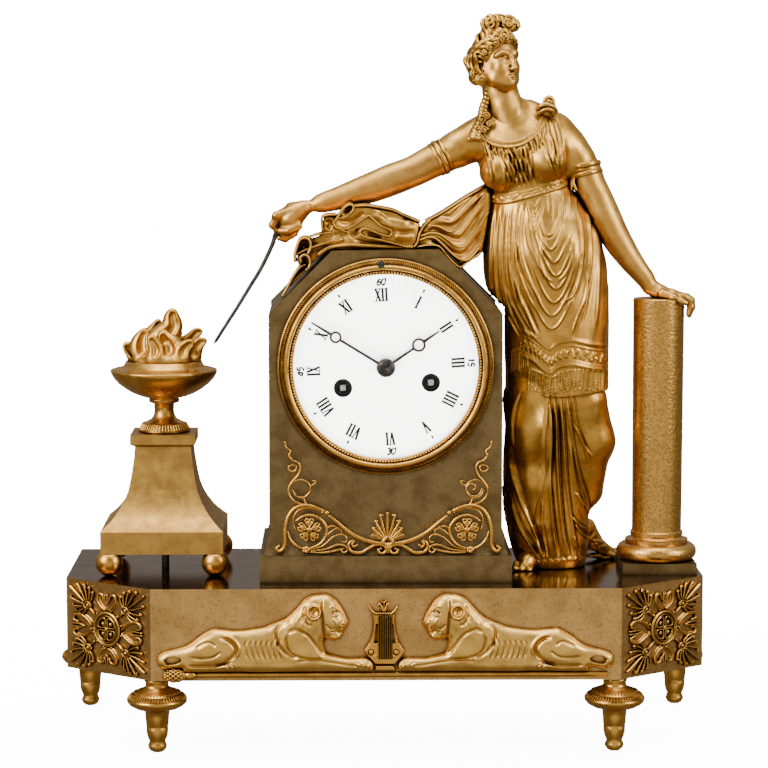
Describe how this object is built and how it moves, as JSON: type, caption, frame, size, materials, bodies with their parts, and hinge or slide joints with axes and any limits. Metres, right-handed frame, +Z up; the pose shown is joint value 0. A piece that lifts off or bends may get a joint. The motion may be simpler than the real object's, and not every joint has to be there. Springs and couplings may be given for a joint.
{
  "type": "figural mantel clock",
  "caption": "Gilt bronze mantel clock with a draped standing figure beside the dial, a column, an altar with a flaming bowl and a long base on turned feet.",
  "frame": {"origin": "middle of the footprint, on the surface that the feet stand on", "axes": "+Z up, the dial and the lions face -Y, +X towards the column"},
  "size_m": [0.351, 0.139, 0.3744],
  "materials": {
    "gilt_bronze": "fire-gilt bronze, mostly burnished, matted in the grounds",
    "olive_gilt": "dull gilding with a grey-olive tone",
    "case_steel": "plain sheet, lightly brushed",
    "white_enamel": "vitreous enamel on copper, glossy, black numerals",
    "movement_brass": "grained and lacquered brass",
    "movement_steel": "polished steel",
    "dark_steel": "dark blued steel",
    "bell_metal": "turned bell metal, satin",
    "silk_thread": "twisted silk"
  },
  "bodies": {
    "clock_case": {"base_casting": "gilt_bronze", "turned_feet": "gilt_bronze", "lion_mount_left": "gilt_bronze", "lion_mount_right": "gilt_bronze", "lyre_mount": "gilt_bronze", "thyrsus_rod": "gilt_bronze", "corner_mounts": "gilt_bronze", "case_plinth": "gilt_bronze", "case_shell": "olive_gilt", "case_back": "case_steel", "case_scroll_mount": "gilt_bronze", "front_bezel": "gilt_bronze", "enamel_dial": "white_enamel", "rear_bezel": "movement_brass", "door_hinge_pin": "movement_steel", "clamp_screws": "movement_steel", "front_plate": "movement_brass", "back_plate": "movement_brass", "plate_pillars": "movement_brass", "barrel_clicks": "movement_steel", "suspension_cock": "movement_brass", "suspension_silk": "silk_thread", "bell_stand": "movement_steel", "strike_bell": "bell_metal", "column_plinth": "gilt_bronze", "column_shaft": "gilt_bronze", "altar_ball_feet": "gilt_bronze", "altar_pedestal": "gilt_bronze", "brazier_bowl": "gilt_bronze", "brazier_flame": "gilt_bronze", "tie_bolts": "movement_steel", "figure_body": "gilt_bronze", "figure_head": "gilt_bronze", "figure_left_arm": "gilt_bronze", "figure_right_arm": "gilt_bronze", "pointing_rod": "dark_steel", "mantle_drapery": "gilt_bronze"},
    "rear_door": {"rear_door": "movement_brass"},
    "minute_hand": {"minute_hand": "dark_steel", "cannon_pinion": "movement_brass"},
    "minute_wheel": {"minute_wheel": "movement_brass"},
    "hour_hand": {"hour_hand": "dark_steel", "hour_wheel": "movement_brass"},
    "escape_wheel": {"escape_wheel": "movement_brass"},
    "third_wheel": {"third_wheel": "movement_brass"},
    "centre_wheel": {"centre_wheel": "movement_brass"},
    "intermediate_wheel": {"intermediate_wheel": "movement_brass"},
    "going_barrel": {"going_barrel": "movement_brass"},
    "going_winding_arbor": {"going_winding_arbor": "movement_steel"},
    "strike_winding_arbor": {"strike_winding_arbor": "movement_steel"},
    "strike_barrel": {"strike_barrel": "movement_brass"},
    "strike_second_wheel": {"strike_second_wheel": "movement_brass", "count_wheel": "movement_brass"},
    "pin_wheel": {"pin_wheel": "movement_brass"},
    "strike_fly": {"strike_fly": "movement_brass"},
    "strike_hammer": {"strike_hammer": "movement_steel"},
    "pallet_anchor": {"pallet_anchor": "movement_steel"},
    "pendulum": {"pendulum_rod": "movement_steel", "pendulum_bob": "movement_brass"},
    "regulator_arbor": {"regulator_arbor": "movement_steel"}
  },
  "joints": [
    {"name": "rear_door_hinge", "type": "hinge", "parent": "clock_case", "child": "rear_door", "pos_m": [0.051, 0.0475, 0.1956], "axis": [0, 0, 1], "range_deg": [-110, 0]},
    {"name": "minute_hand_arbor", "type": "hinge", "parent": "clock_case", "child": "minute_hand", "pos_m": [0, -0.04, 0.1956], "axis": [0, 1, 0], "continuous": true},
    {"name": "minute_wheel_post", "type": "hinge", "parent": "clock_case", "child": "minute_wheel", "pos_m": [0.00071, -0.035, 0.18362], "axis": [0, 1, 0], "continuous": true},
    {"name": "hour_hand_pipe", "type": "hinge", "parent": "clock_case", "child": "hour_hand", "pos_m": [0, -0.04, 0.1956], "axis": [0, 1, 0], "continuous": true},
    {"name": "escape_arbor", "type": "hinge", "parent": "clock_case", "child": "escape_wheel", "pos_m": [-0.00141, -0.016, 0.21932], "axis": [0, 1, 0], "continuous": true},
    {"name": "third_arbor", "type": "hinge", "parent": "clock_case", "child": "third_wheel", "pos_m": [-0.00306, -0.016, 0.20844], "axis": [0, 1, 0], "continuous": true},
    {"name": "centre_arbor", "type": "hinge", "parent": "clock_case", "child": "centre_wheel", "pos_m": [0, -0.016, 0.1956], "axis": [0, 1, 0], "continuous": true},
    {"name": "intermediate_arbor", "type": "hinge", "parent": "clock_case", "child": "intermediate_wheel", "pos_m": [0.01264, -0.016, 0.20368], "axis": [0, 1, 0], "continuous": true},
    {"name": "going_barrel_arbor", "type": "hinge", "parent": "clock_case", "child": "going_barrel", "pos_m": [0.02281, -0.016, 0.18764], "axis": [0, 1, 0], "continuous": true},
    {"name": "going_winding", "type": "hinge", "parent": "clock_case", "child": "going_winding_arbor", "pos_m": [0.02281, -0.03, 0.18764], "axis": [0, 1, 0], "continuous": true},
    {"name": "strike_winding", "type": "hinge", "parent": "clock_case", "child": "strike_winding_arbor", "pos_m": [-0.02171, -0.03, 0.18499], "axis": [0, 1, 0], "continuous": true},
    {"name": "strike_barrel_arbor", "type": "hinge", "parent": "clock_case", "child": "strike_barrel", "pos_m": [-0.02171, -0.016, 0.18499], "axis": [0, 1, 0], "continuous": true},
    {"name": "strike_second_arbor", "type": "hinge", "parent": "clock_case", "child": "strike_second_wheel", "pos_m": [-0.0135, -0.016, 0.20213], "axis": [0, 1, 0], "continuous": true},
    {"name": "pin_wheel_arbor", "type": "hinge", "parent": "clock_case", "child": "pin_wheel", "pos_m": [-0.01663, -0.016, 0.21526], "axis": [0, 1, 0], "continuous": true},
    {"name": "fly_arbor", "type": "hinge", "parent": "clock_case", "child": "strike_fly", "pos_m": [-0.0254, -0.016, 0.21965], "axis": [0, 1, 0], "continuous": true},
    {"name": "hammer_arbor", "type": "hinge", "parent": "clock_case", "child": "strike_hammer", "pos_m": [-0.02749, -0.016, 0.20298], "axis": [0, 1, 0], "range_deg": [0, 12], "stiffness_Nm_per_rad": 0.002},
    {"name": "pallet_arbor", "type": "hinge", "parent": "clock_case", "child": "pallet_anchor", "pos_m": [-0.00206, -0.01, 0.2303], "axis": [0, 1, 0], "range_deg": [-4, 4]},
    {"name": "pendulum_suspension", "type": "hinge", "parent": "clock_case", "child": "pendulum", "pos_m": [-0.00206, 0.0085, 0.2303], "axis": [0, 1, 0], "range_deg": [-4, 4]},
    {"name": "regulator", "type": "hinge", "parent": "clock_case", "child": "regulator_arbor", "pos_m": [-0.00297, -0.02, 0.24561], "axis": [0, 1, 0], "continuous": true}
  ],
  "couplings": [
    {"joint": "minute_wheel_post", "follows": "minute_hand_arbor", "ratio": -0.33333},
    {"joint": "hour_hand_pipe", "follows": "minute_hand_arbor", "ratio": 0.083333},
    {"joint": "third_arbor", "follows": "escape_arbor", "ratio": -0.1},
    {"joint": "centre_arbor", "follows": "escape_arbor", "ratio": 0.01},
    {"joint": "intermediate_arbor", "follows": "escape_arbor", "ratio": -0.0025},
    {"joint": "going_barrel_arbor", "follows": "escape_arbor", "ratio": 0.00046875},
    {"joint": "pin_wheel_arbor", "follows": "fly_arbor", "ratio": -0.16667},
    {"joint": "strike_second_arbor", "follows": "fly_arbor", "ratio": 0.047619},
    {"joint": "strike_barrel_arbor", "follows": "fly_arbor", "ratio": -0.0089286},
    {"joint": "pallet_arbor", "follows": "pendulum_suspension", "ratio": 1}
  ]
}
